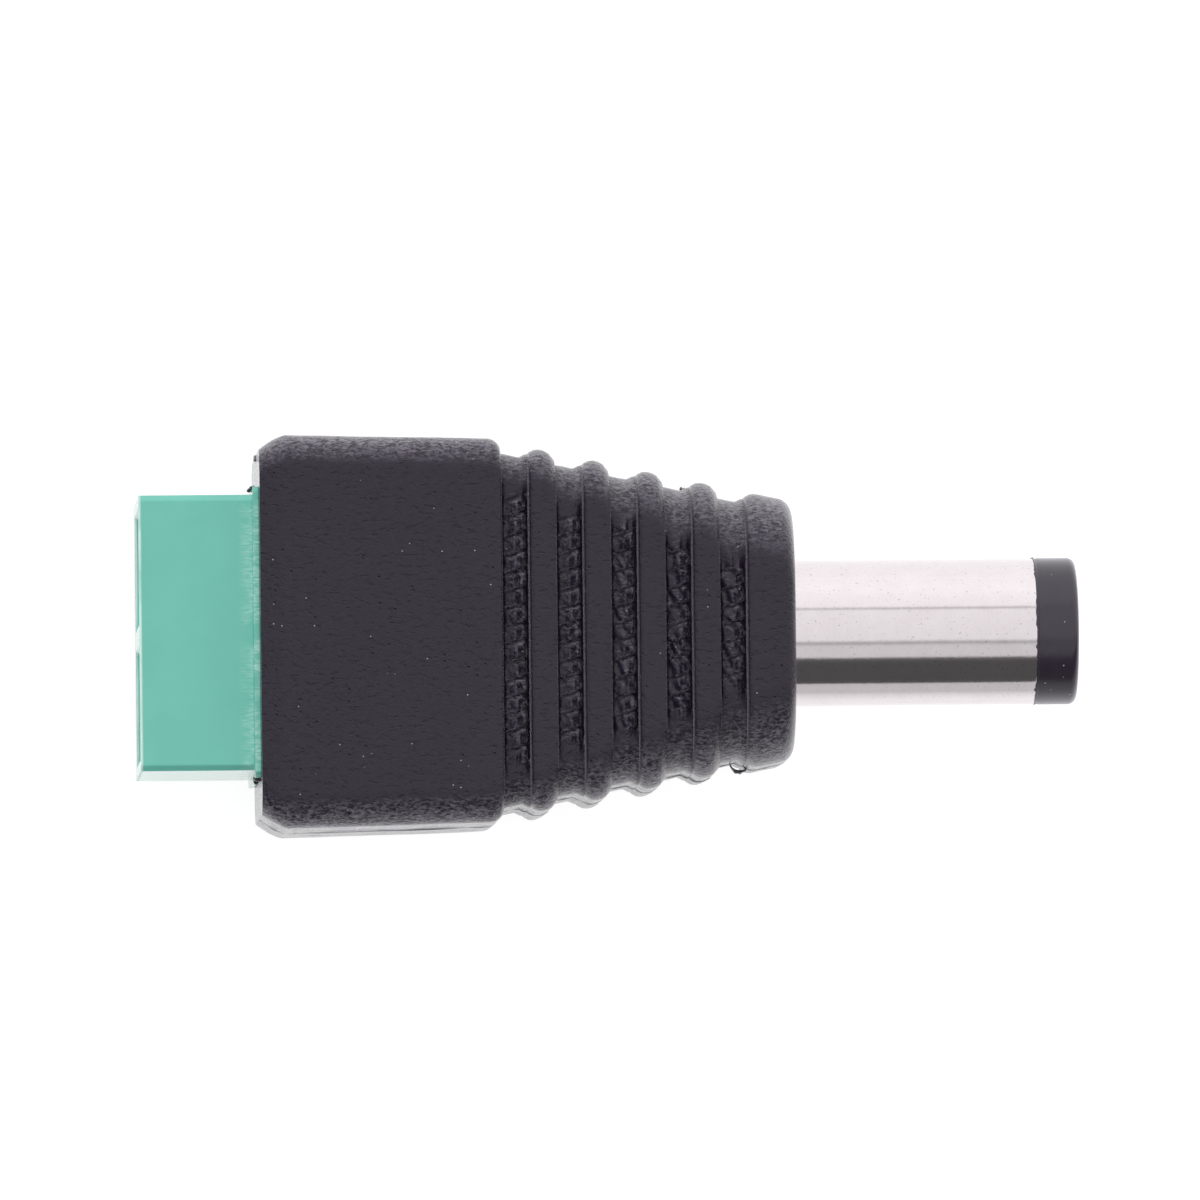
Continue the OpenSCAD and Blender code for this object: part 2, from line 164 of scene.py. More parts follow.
def bevelledCopy(node, name, width, material):
    # a welded copy of a CAD node, its flat faces made whole again and its edges broken
    flatFold, bevelFold = math.radians(1), math.radians(30)
    bm = bmesh.new()
    bm.from_mesh(frame["nodes"][node].data)
    bmesh.ops.remove_doubles(bm, verts=bm.verts, dist=weldGap)
    bmesh.ops.dissolve_limit(bm, angle_limit=flatFold, verts=bm.verts, edges=bm.edges)
    mesh = bpy.data.meshes.new(name)
    bm.to_mesh(mesh)
    bm.free()
    for layer in [a for a in mesh.attributes if a.name == "custom_normal"]:
        mesh.attributes.remove(layer)
    mesh.materials.clear()
    mesh.materials.append(material)
    mesh.shade_smooth()
    mesh.set_sharp_from_angle(angle=math.radians(sharpFold))
    piece = bpy.data.objects.new(name, mesh)
    bpy.context.scene.collection.objects.link(piece)
    bevel = piece.modifiers.new("brokenEdges", "BEVEL")
    bevel.width, bevel.segments = width * mm, 2
    bevel.limit_method, bevel.angle_limit = "ANGLE", bevelFold
    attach(piece, frame["nodes"][node]["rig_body"])
    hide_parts(node)


def addNode(material, kind, settings=None, links=None):
    # one shader node: settings go to its properties or its sockets, links join sockets to it
    node = material.node_tree.nodes.new(kind)
    for key, value in (settings or {}).items():
        if isinstance(key, str) and hasattr(node, key):
            setattr(node, key, value)
        else:
            node.inputs[key].default_value = value
    for key, source in (links or {}).items():
        material.node_tree.links.new(source, node.inputs[key])
    return node


def startMaterial(name):  # an empty node material with its output
    material = bpy.data.materials.new(name)
    material.use_nodes = True
    material.node_tree.nodes.clear()
    return material


def finishMaterial(material, settings, links):  # the surface shader and the material's output
    shader = addNode(material, "ShaderNodeBsdfPrincipled", settings, links)
    addNode(material, "ShaderNodeOutputMaterial", None, {"Surface": shader.outputs[0]})
    return material


def perMm(size):  # a texture's scale for features of that many millimetres, on metre coordinates
    return 1 / (size * mm)


def flexiblePvc():
    # black flexible PVC, moulded against spark-eroded steel: satin, with scattered shallow dents
    # drawn out along the part, dark pits and a few glinting grains, the dents and pits darkened as
    # painted shade;
    # where the skin turns to the narrow sides it is finely creased and painted paler on its crests,
    # a painted sheen, and a sheen makes it look paler at a glancing angle
    look = dict(body="#181122", pale="#1e1627", paintedSheen="#827c89", speck="#b9b2be", pit="#09060d",
                cloud=2.6, grain=0.07, dent=0.16, dentRun=0.3, speckGap=0.3, speckSize=0.03,
                wrinkle=0.1, wrinkleRun=0.2, speckAbove=0.87, pitBelow=0.22, dentTone=0.5,
                foldDepth=0.045, skinDepth=0.032)
    m = startMaterial("mouldedPvc")
    place = addNode(m, "ShaderNodeTexCoord")
    at = place.outputs["Object"]
    cloud = addNode(m, "ShaderNodeTexNoise", {"Scale": perMm(look["cloud"]), "Detail": 4.0},
                    {"Vector": at})
    tone = addNode(m, "ShaderNodeMix", {"data_type": "RGBA", 6: linear(look["body"]),
                                        7: linear(look["pale"])}, {0: cloud.outputs[0]})
    spots = addNode(m, "ShaderNodeTexVoronoi", {"Scale": perMm(look["speckGap"])}, {"Vector": at})
    pick = addNode(m, "ShaderNodeSeparateColor", None, {0: spots.outputs["Color"]})
    near = addNode(m, "ShaderNodeMapRange",
                   {"From Min": look["speckSize"] / look["speckGap"], "From Max": 0.04},
                   {"Value": spots.outputs["Distance"]})
    wide = addNode(m, "ShaderNodeMapRange",
                   {"From Min": 2 * look["speckSize"] / look["speckGap"], "From Max": 0.05},
                   {"Value": spots.outputs["Distance"]})
    few = addNode(m, "ShaderNodeMath", {"operation": "GREATER_THAN", 1: look["speckAbove"]},
                  {0: pick.outputs[0]})
    some = addNode(m, "ShaderNodeMath", {"operation": "LESS_THAN", 1: look["pitBelow"]},
                   {0: pick.outputs[0]})
    speck = addNode(m, "ShaderNodeMath", {"operation": "MULTIPLY"},
                    {0: near.outputs[0], 1: few.outputs[0]})
    pit = addNode(m, "ShaderNodeMath", {"operation": "MULTIPLY"},
                  {0: wide.outputs[0], 1: some.outputs[0]})
    run = addNode(m, "ShaderNodeMapping", {"Scale": (look["dent"] / look["dentRun"], 1.0, 1.0)},
                  {"Vector": at})
    dentNoise = addNode(m, "ShaderNodeTexNoise", {"Scale": perMm(look["dent"]), "Detail": 2.0,
                                                  "Distortion": 0.5}, {"Vector": run.outputs[0]})
    dent = addNode(m, "ShaderNodeMapRange", {"From Min": 0.55, "From Max": 0.7},
                   {"Value": dentNoise.outputs[0]})
    # painted shade: the dents and the pits are darkened in colour
    hollow = addNode(m, "ShaderNodeMath", {"operation": "MULTIPLY", 1: look["dentTone"]},
                     {0: dent.outputs[0]})
    dark = addNode(m, "ShaderNodeMath", {"operation": "MAXIMUM"},
                   {0: hollow.outputs[0], 1: pit.outputs[0]})
    facing = addNode(m, "ShaderNodeSeparateXYZ", None, {0: place.outputs["Normal"]})
    upright = addNode(m, "ShaderNodeMath", {"operation": "ABSOLUTE"}, {0: facing.outputs[2]})
    sideways = addNode(m, "ShaderNodeMath", {"operation": "ABSOLUTE"}, {0: facing.outputs[1]})
    turning = addNode(m, "ShaderNodeMapRange", {"From Min": 0.15, "From Max": 0.8,
                                               "To Min": 0.02, "To Max": 1.0},
                      {"Value": sideways.outputs[0]})
    offSide = addNode(m, "ShaderNodeMapRange", {"From Min": 0.05, "From Max": 0.4,
                                               "To Min": 0.14, "To Max": 1.0},
                      {"Value": upright.outputs[0]})
    edge = addNode(m, "ShaderNodeMath", {"operation": "MULTIPLY"},
                   {0: turning.outputs[0], 1: offSide.outputs[0]})
    stretch = addNode(m, "ShaderNodeMapping",
                      {"Scale": (look["wrinkle"] / look["wrinkleRun"], 1.0, 1.0)}, {"Vector": at})
    wrinkle = addNode(m, "ShaderNodeTexNoise",
                      {"Scale": perMm(look["wrinkle"]), "Detail": 4.0, "Distortion": 0.8},
                      {"Vector": stretch.outputs[0]})
    crests = addNode(m, "ShaderNodeMapRange", {"From Min": 0.4, "From Max": 0.66},
                     {"Value": wrinkle.outputs[0]})
    # painted sheen: the crests of the creases on the narrow sides are painted paler, for light
    # glancing off them
    paintedSheen = addNode(m, "ShaderNodeMath", {"operation": "MULTIPLY"},
                    {0: crests.outputs[0], 1: edge.outputs[0]})
    folds = addNode(m, "ShaderNodeMath", {"operation": "MULTIPLY"},
                    {0: wrinkle.outputs[0], 1: edge.outputs[0]})
    skinTone = addNode(m, "ShaderNodeMix", {"data_type": "RGBA", 7: linear(look["paintedSheen"])},
                       {0: paintedSheen.outputs[0], 6: tone.outputs[2]})
    pitTone = addNode(m, "ShaderNodeMix", {"data_type": "RGBA", 7: linear(look["pit"])},
                      {0: dark.outputs[0], 6: skinTone.outputs[2]})
    colour = addNode(m, "ShaderNodeMix", {"data_type": "RGBA", 7: linear(look["speck"])},
                     {0: speck.outputs[0], 6: pitTone.outputs[2]})
    grain = addNode(m, "ShaderNodeTexNoise", {"Scale": perMm(look["grain"]), "Detail": 2.0},
                    {"Vector": at})
    skin = addNode(m, "ShaderNodeMath", {"operation": "MULTIPLY_ADD", 1: -1.0},
                   {0: dark.outputs[0], 2: grain.outputs[0]})
    foldBump = addNode(m, "ShaderNodeBump", {"Strength": 1.0, "Distance": look["foldDepth"] * mm},
                       {"Height": folds.outputs[0]})
    bump = addNode(m, "ShaderNodeBump", {"Strength": 0.9, "Distance": look["skinDepth"] * mm},
                   {"Height": skin.outputs[0], "Normal": foldBump.outputs[0]})
    rough = addNode(m, "ShaderNodeMapRange", {"From Min": 0.97, "From Max": 0.6,
                                             "To Min": 0.33, "To Max": 0.07},
                    {"Value": upright.outputs[0]})
    return finishMaterial(m, {"IOR": 1.46, "Sheen Weight": 0.25, "Sheen Roughness": 0.35,
                              "Sheen Tint": (0.93, 0.88, 1.0, 1.0)},
                          {"Base Color": colour.outputs[2], "Roughness": rough.outputs[0],
                           "Normal": bump.outputs[0]})


def dyedNylon():
    # green polyamide 66, moulded: satin and even, whitened by stress in patches of short strokes at
    # the rim, and with a painted highlight in a fine pale line along the edge at the wire entries
    box, mouthX = nodeBox("terminal_block"), nodeBox("housing")[0][0]
    look = dict(body="#65b8a8", pale="#6fc2b1", white="#cdf0e8", cloud=1.6, smear=0.08,
                smearRun=0.4, rimReach=0.85, rimFull=0.2, edgeReach=0.11, edgeFull=0.04, patch=1.6,
                patchShift=2.7, grain=0.08, skinDepth=0.008, scatter=0.4)
    m = startMaterial("dyedNylon")
    place = addNode(m, "ShaderNodeTexCoord")
    at = place.outputs["Object"]
    cloud = addNode(m, "ShaderNodeTexNoise", {"Scale": perMm(look["cloud"]), "Detail": 3.0},
                    {"Vector": at})
    tone = addNode(m, "ShaderNodeMix", {"data_type": "RGBA", 6: linear(look["body"]),
                                        7: linear(look["pale"])}, {0: cloud.outputs[0]})
    facing = addNode(m, "ShaderNodeSeparateXYZ", None, {0: place.outputs["Normal"]})
    offEnd = addNode(m, "ShaderNodeMapRange", {"From Min": -0.97, "From Max": -0.8},
                     {"Value": facing.outputs[0]})
    along = addNode(m, "ShaderNodeSeparateXYZ", None, {0: at})
    nearRim = addNode(m, "ShaderNodeMapRange", {"From Min": (mouthX - look["rimReach"]) * mm,
                                               "From Max": (mouthX - look["rimFull"]) * mm},
                      {"Value": along.outputs[0]})
    nearEdge = addNode(m, "ShaderNodeMapRange", {"From Min": (box[0][0] + look["edgeReach"]) * mm,
                                                "From Max": (box[0][0] + look["edgeFull"]) * mm},
                       {"Value": along.outputs[0]})
    run = addNode(m, "ShaderNodeMapping", {"Scale": (look["smear"] / look["smearRun"], 1.0, 1.0)},
                  {"Vector": at})
    smear = addNode(m, "ShaderNodeTexNoise", {"Scale": perMm(look["smear"]), "Detail": 4.0,
                                              "Roughness": 0.6}, {"Vector": run.outputs[0]})
    shifted = addNode(m, "ShaderNodeMapping", {"Location": (0.0, -look["patchShift"] * mm, 0.0)},
                      {"Vector": at})
    patch = addNode(m, "ShaderNodeTexNoise", {"Scale": perMm(look["patch"]), "Detail": 2.0},
                    {"Vector": shifted.outputs[0]})
    soft = addNode(m, "ShaderNodeMapRange", {"From Min": 0.38, "From Max": 0.68, "To Max": 0.6},
                   {"Value": smear.outputs[0]})
    places = addNode(m, "ShaderNodeMapRange", {"From Min": 0.44, "From Max": 0.54},
                     {"Value": patch.outputs[0]})
    rimPart = addNode(m, "ShaderNodeMath", {"operation": "MULTIPLY"},
                      {0: nearRim.outputs[0], 1: places.outputs[0]})
    rimScuff = addNode(m, "ShaderNodeMath", {"operation": "MULTIPLY"},
                       {0: soft.outputs[0], 1: rimPart.outputs[0]})
    # painted highlight: a fine pale line along the edge at the wire entries, for the light that
    # catches that edge
    edgeHighlight = addNode(m, "ShaderNodeMath", {"operation": "MULTIPLY"},
                       {0: nearEdge.outputs[0], 1: offEnd.outputs[0]})
    lineTone = addNode(m, "ShaderNodeMapRange", {"From Min": 0.3, "From Max": 0.55,
                                                "To Min": 0.45, "To Max": 1.0},
                       {"Value": patch.outputs[0]})
    # the rim's stress whitening together with the edge's painted highlight
    scuffAndHighlight = addNode(m, "ShaderNodeMath", {"operation": "MULTIPLY_ADD"},
                    {0: edgeHighlight.outputs[0], 1: lineTone.outputs[0], 2: rimScuff.outputs[0]})
    colour = addNode(m, "ShaderNodeMix", {"data_type": "RGBA", 7: linear(look["white"])},
                     {0: scuffAndHighlight.outputs[0], 6: tone.outputs[2]})
    grain = addNode(m, "ShaderNodeTexNoise", {"Scale": perMm(look["grain"]), "Detail": 2.0},
                    {"Vector": at})
    height = addNode(m, "ShaderNodeMath", {"operation": "ADD"},
                     {0: grain.outputs[0], 1: scuffAndHighlight.outputs[0]})
    bump = addNode(m, "ShaderNodeBump", {"Strength": 0.3, "Distance": look["skinDepth"] * mm},
                   {"Height": height.outputs[0]})
    rough = addNode(m, "ShaderNodeMapRange", {"To Min": 0.13, "To Max": 0.4},
                    {"Value": scuffAndHighlight.outputs[0]})
    return finishMaterial(m, {"IOR": 1.53, "Subsurface Weight": 0.1,
                              "Subsurface Radius": (0.3, 0.6, 0.5),
                              "Subsurface Scale": look["scatter"] * mm},
                          {"Base Color": colour.outputs[2], "Roughness": rough.outputs[0],
                           "Normal": bump.outputs[0]})


def moulded(name, body, pale, roughness, ior=1.5, cloud=1.0, grain=0.08, depth=0.008, sheen=0.0,
            clean=0.8):
    # plain moulded plastic: an even tone with a faint cloud, a fine skin and a few grains of dust
    dustGap, dustTone, glossSpread = 0.34, "#b3acb8", 0.05
    m = startMaterial(name)
    at = addNode(m, "ShaderNodeTexCoord").outputs["Object"]
    noise = addNode(m, "ShaderNodeTexNoise", {"Scale": perMm(cloud), "Detail": 3.0}, {"Vector": at})
    tone = addNode(m, "ShaderNodeMix", {"data_type": "RGBA", 6: linear(body), 7: linear(pale)},
                   {0: noise.outputs[0]})
    spots = addNode(m, "ShaderNodeTexVoronoi", {"Scale": perMm(dustGap)}, {"Vector": at})
    pick = addNode(m, "ShaderNodeSeparateColor", None, {0: spots.outputs["Color"]})
    few = addNode(m, "ShaderNodeMath", {"operation": "GREATER_THAN", 1: clean},
                  {0: pick.outputs[0]})
    near = addNode(m, "ShaderNodeMapRange", {"From Min": 0.1, "From Max": 0.05},
                   {"Value": spots.outputs["Distance"]})
    dust = addNode(m, "ShaderNodeMath", {"operation": "MULTIPLY"},
                   {0: near.outputs[0], 1: few.outputs[0]})
    colour = addNode(m, "ShaderNodeMix", {"data_type": "RGBA", 7: linear(dustTone)},
                     {0: dust.outputs[0], 6: tone.outputs[2]})
    skin = addNode(m, "ShaderNodeTexNoise", {"Scale": perMm(grain), "Detail": 2.0}, {"Vector": at})
    bump = addNode(m, "ShaderNodeBump", {"Strength": 0.4, "Distance": depth * mm},
                   {"Height": skin.outputs[0]})
    rough = addNode(m, "ShaderNodeMapRange",
                    {"To Min": roughness - glossSpread, "To Max": roughness + glossSpread},
                    {"Value": skin.outputs[0]})
    return finishMaterial(m, {"IOR": ior, "Sheen Weight": sheen, "Sheen Roughness": 0.3,
                              "Sheen Tint": (0.92, 0.85, 1.0, 1.0)},
                          {"Base Color": colour.outputs[2], "Roughness": rough.outputs[0],
                           "Normal": bump.outputs[0]})


def metal(name, body, pale, stain, roughness, run=(1, 1, 1), mark=0.1):
    # plated or bare metal: tone and gloss vary with its handling, fine stained pores are scattered
    # over it, and marks run along one axis
    cloud, pore, markDepth, glossSpread = 0.8, 0.09, 0.003, 0.3
    m = startMaterial(name)
    at = addNode(m, "ShaderNodeTexCoord").outputs["Object"]
    noise = addNode(m, "ShaderNodeTexNoise", {"Scale": perMm(cloud), "Detail": 6.0,
                                              "Roughness": 0.75}, {"Vector": at})
    tone = addNode(m, "ShaderNodeMix", {"data_type": "RGBA", 6: linear(body), 7: linear(pale)},
                   {0: noise.outputs[0]})
    flecks = addNode(m, "ShaderNodeTexNoise", {"Scale": perMm(pore), "Detail": 1.0}, {"Vector": at})
    fleck = addNode(m, "ShaderNodeMapRange", {"From Min": 0.67, "From Max": 0.8, "To Max": 0.7},
                    {"Value": flecks.outputs[0]})
    colour = addNode(m, "ShaderNodeMix", {"data_type": "RGBA", 7: linear(stain)},
                     {0: fleck.outputs[0], 6: tone.outputs[2]})
    stretch = addNode(m, "ShaderNodeMapping", {"Scale": run}, {"Vector": at})
    marks = addNode(m, "ShaderNodeTexNoise", {"Scale": perMm(mark), "Detail": 4.0},
                    {"Vector": stretch.outputs[0]})
    bump = addNode(m, "ShaderNodeBump", {"Strength": 0.3, "Distance": markDepth * mm},
                   {"Height": marks.outputs[0]})
    rough = addNode(m, "ShaderNodeMapRange", {"To Min": roughness * (1 - glossSpread),
                                             "To Max": roughness * (1 + glossSpread)},
                    {"Value": marks.outputs[0]})
    return finishMaterial(m, {"Metallic": 1.0}, {"Base Color": colour.outputs[2],
                                                 "Roughness": rough.outputs[0],
                                                 "Normal": bump.outputs[0]})


pvc = flexiblePvc()
filmPvc = moulded("thinPvcFilm", "#2b2630", "#37313d", 0.1, ior=1.46, cloud=0.3)
nylon = dyedNylon()
naturalPe = moulded("naturalPolyethylene", "#d6d4ca", "#e2e0d8", 0.5)
blackPbt = moulded("blackPbt", "#251d2b", "#2f2735", 0.24, ior=1.58, cloud=0.5, grain=0.07,
                   sheen=1.0, clean=0.6)
fibre = moulded("vulcanisedFibre", "#6a2c1c", "#7d3a26", 0.7, cloud=0.4, grain=0.05, depth=0.02)
nickel = metal("nickelPlatedBrass", "#d7cfd2", "#e9e2e5", "#a59da3", 0.1, mark=0.12)
zincSteel = metal("zincPlatedSteel", "#c3c6ca", "#d4d6da", "#9da0a4", 0.28, mark=0.2)
tinned = metal("tinnedBrass", "#cfcbc2", "#dedacf", "#a8a49b", 0.3, run=(0.15, 1, 1))
brass = metal("stampedBrass", "#d8b25f", "#e2c076", "#a8853c", 0.28, run=(0.15, 1, 1))
solderMetal = metal("tinSolder", "#bdbcc0", "#d0cfd2", "#929196", 0.22, mark=0.3)
print("materials:", len(bpy.data.materials))


housingBox = nodeBox("housing")
shell = dict(length=housingBox[1][0] - housingBox[0][0], thickness=housingBox[1][2] * 2,
             boxLength=9.04, width=14.76, frontWidth=14.32, boxRound=1.25,
             mouthLength=1.0, mouthIn=0.55, mouthDown=0.15, mouthCurve=1.4,
             grooves=5, grooveWidth=0.97, grooveDepth=0.55, grooveSideDepth=0.42,
             ribStartWidth=14.12, ribStartThickness=11.6, ribEdgeIn=0.1, ribEdgeOut=0.07,
             skirt=0.4, skirtRun=0.32, skirtLap=0.05,
             collarLength=1.85, collarWidth=9.7, collarThickness=10.6, collarRound=3.0,
             shoulderRound=0.5)
shell["boxX"] = shell["boxLength"] - shell["length"]
shell["ribWidth"] = ((-shell["collarLength"] - shell["boxX"] - shell["grooves"]
                      * shell["grooveWidth"]) / (shell["grooves"] - 1))
shell["pitch"] = shell["grooveWidth"] + shell["ribWidth"]
barrel = dict(r=2.75, wall=0.4, endRound=0.06, undercut=0.2, undercutX=-0.1, flangeR=3.5,
              flangeX=-1.0, segments=256, wave=0.0025, waveSize=1.9, tipRound=0.3, lip=0.09,
              lipThick=0.012, lipBack=1.0, filmLeast=0.02, filmMost=0.2)


def ribShares(x):
    # how far x lies into its rib from the side of the mouth and of the tip, far where there is none
    s, far = shell, 99.0
    u = np.mod(x - s["boxX"], s["pitch"])
    inRibs = (x > s["boxX"]) & (x < -s["collarLength"])
    fromMouth = np.where(inRibs, u - s["grooveWidth"], x + s["collarLength"])
    fromTip = np.where(inRibs, s["pitch"] - u, far)
    fromMouth = np.where(x <= s["boxX"], far, fromMouth)
    fromTip = np.where(x <= s["boxX"], s["boxX"] - x, fromTip)
    return fromMouth, fromTip


def housingSection(x):
    # half width, half thickness and corner radius of the moulded body at each x
    s = shell
    along = (x - s["boxX"]) / -s["boxX"]
    fromMouth, fromTip = ribShares(x)
    crest = quarterRound(np.minimum(fromMouth, fromTip), s["ribWidth"] / 2)
    skirt = s["skirt"] * (1 - smoothStep(-fromMouth, 0.0, s["skirtRun"]))
    crest = np.maximum(crest, skirt * (fromMouth < s["skirtLap"]))
    edge = quarterRound(fromMouth, s["ribEdgeIn"]) * quarterRound(fromTip, s["ribEdgeOut"])
    drawn = np.clip(1 - (x + s["length"]) / s["mouthLength"], 0, 1) ** s["mouthCurve"]
    boxW = (s["width"] + (s["frontWidth"] - s["width"]) * (x + s["length"]) / s["boxLength"]) / 2
    ribW = (s["ribStartWidth"] + (s["collarWidth"] - s["ribStartWidth"]) * along) / 2
    ribT = (s["ribStartThickness"] + (s["collarThickness"] - s["ribStartThickness"]) * along) / 2
    inward = s["shoulderRound"] * (1 - quarterRound(-x, s["shoulderRound"]))
    floorW = s["ribStartWidth"] / 2 - s["grooveSideDepth"]
    floorT = s["ribStartThickness"] / 2 - s["grooveDepth"]
    isBox = x <= s["boxX"]
    halfW = np.where(isBox, floorW + (boxW - drawn * s["mouthIn"] - floorW) * crest,
                     ribW - inward - s["grooveSideDepth"] * (1 - crest))
    halfT = np.where(isBox, floorT + (s["thickness"] / 2 - drawn * s["mouthDown"] - floorT) * edge,
                     ribT - inward - s["grooveDepth"] * (1 - edge))
    corner = s["boxRound"] + (s["collarRound"] - s["boxRound"]) * along
    return halfW, halfT, np.where(isBox, s["boxRound"], corner)


def roundedRing(wide, lower, narrow, corner):
    # unit parts of a rounded rectangle: where its centre lines end, and which way its skin faces,
    # with closer points in the middle of the narrow sides for the witness lines
    middle, middleCount = 0.08, 14
    flat, under = steps(1, -1, wide), steps(1, -1, lower)
    side = np.concatenate([steps(1, middle, narrow), steps(middle, -middle, middleCount),
                           steps(-middle, -1, narrow)])
    a = steps(0, np.pi / 2, corner)
    one = np.ones
    endY = np.concatenate([one(corner), flat, -one(corner), -one(len(side)),
                           -one(corner), -under, one(corner), one(len(side))])
    endZ = np.concatenate([one(corner), one(wide), one(corner), side,
                           -one(corner), -one(lower), -one(corner), -side])
    faceY = np.concatenate([np.cos(a), 0 * flat, -np.sin(a), -one(len(side)),
                            -np.cos(a), 0 * under, np.sin(a), one(len(side))])
    faceZ = np.concatenate([np.sin(a), one(wide), np.cos(a), 0 * side,
                            -np.sin(a), -one(lower), -np.cos(a), 0 * side])
    return endY, endZ, faceY, faceZ


def ringSurface(x, halfW, halfT, radius, ring):
    # (x, end * (half - radius) + face * radius) for each station and point of the ring
    endY, endZ, faceY, faceZ = ring
    column = lambda v: np.broadcast_to(np.asarray(v, float), x.shape)[:, None]
    y = endY * (column(halfW) - column(radius)) + faceY * column(radius)
    z = endZ * (column(halfT) - column(radius)) + faceZ * column(radius)
    return np.stack([np.broadcast_to(x[:, None], y.shape), y, z], -1)


scales = dict(pitch=0.665, lump=0.32, lean=0.36, nick=0.65, nickWide=0.055, crumple=0.012,
              channel=0.22, leftGap=0.08, rightGap=0.19, firstHalf=4.9, lastHalf=3.0, streak=0.07,
              streakPitch=0.42, halfSpread=0.2, fadeIn=0.25, fadeOut=0.1, wander=0.12, ripple=0.05,
              sizeSpread=0.35, nickAt=0.64, nickSpread=0.12, nickFrom=0.2, nickFull=0.5,
              climb=0.7, dropFrom=0.78, dropTo=0.92, lowEnd=0.4, endFrom=0.15, endTo=0.6,
              level=0.07, underShift=0.31)


def grooveScales(x, y):
    # relief of a groove's floor: a row of shingles, each a ramp that climbs down the groove and
    # drops along a line slanting up towards the tip, higher on that side and with a nick beside
    # its drop; crumpled skin between them, slanted streaks in the last grooves, and a channel
    # beside each wall; it fades out towards the narrow sides
    s, c = shell, scales
    index = np.clip(np.floor((x - s["boxX"]) / s["pitch"]), 0, s["grooves"] - 1)
    t = x - s["boxX"] - index * s["pitch"]
    inside = (t > 0) & (t < s["grooveWidth"]) & (x > s["boxX"])
    late = index / (s["grooves"] - 1)
    half = c["firstHalf"] + (c["lastHalf"] - c["firstHalf"]) * late
    half = half + c["halfSpread"] * uneven(index, 0 * y, 0.9, 5)
    middle = 1 - smoothStep(np.abs(y), half - c["fadeIn"], half + c["fadeOut"])
    down = ((c["lean"] * t - y) / c["pitch"] + c["wander"] * uneven(index * 1.7, y, 1.1, 6)
            + c["ripple"] * uneven(x, y, 0.3, 19))
    k = np.floor(down)
    f = down - k
    size = 1 + c["sizeSpread"] * uneven(k * 3.1, index * 5.3, 1.0, 11)
    nickAt = c["nickAt"] + c["nickSpread"] * uneven(k * 2.3, index * 7.1, 1.0, 12)
    ramp = f ** c["climb"] * (1 - smoothStep(f, c["dropFrom"], c["dropTo"]))
    ramp = ramp * (c["lowEnd"] + (1 - c["lowEnd"]) * smoothStep(t, c["endFrom"], c["endTo"]))
    nick = np.exp(-((t - nickAt) / c["nickWide"]) ** 2)
    nick = nick * smoothStep(f, c["nickFrom"], c["nickFull"]) * (1 - smoothStep(f, 0.72, 0.9))
    shingles = size * (ramp - c["nick"] * nick)
    crumple = 1 - 2 * np.abs(uneven(x * 1.3 + y, y - x * 0.6, 0.2, 14))
    slant = np.sin(2 * np.pi * (y * 0.4 + t) / c["streakPitch"] + 3.5 * uneven(x, y, 0.7, 15))
    early = np.clip(1.5 - 2 * late, 0, 1)
    relief = c["lump"] * shingles * (0.65 + 0.35 * early) + c["crumple"] * crumple
    streaks = c["streak"] * slant * (1 - early) * (0.5 + 0.5 * uneven(x, y, 0.7, 16))
    relief = relief + streaks - c["level"]
    left = 1 - smoothStep(t, 0.02, c["leftGap"] + 0.03 * uneven(y, x, 0.35, 17))
    rightGap = c["rightGap"] + 0.06 * uneven(y, x, 0.28, 18)
    right = 1 - smoothStep(s["grooveWidth"] - t, 0.04, rightGap)
    gaps = c["channel"] * np.maximum(0.5 * left, right) * (0.35 + 0.65 * middle)
    return (relief * middle * (1 - np.maximum(left, right)) - gaps) * inside


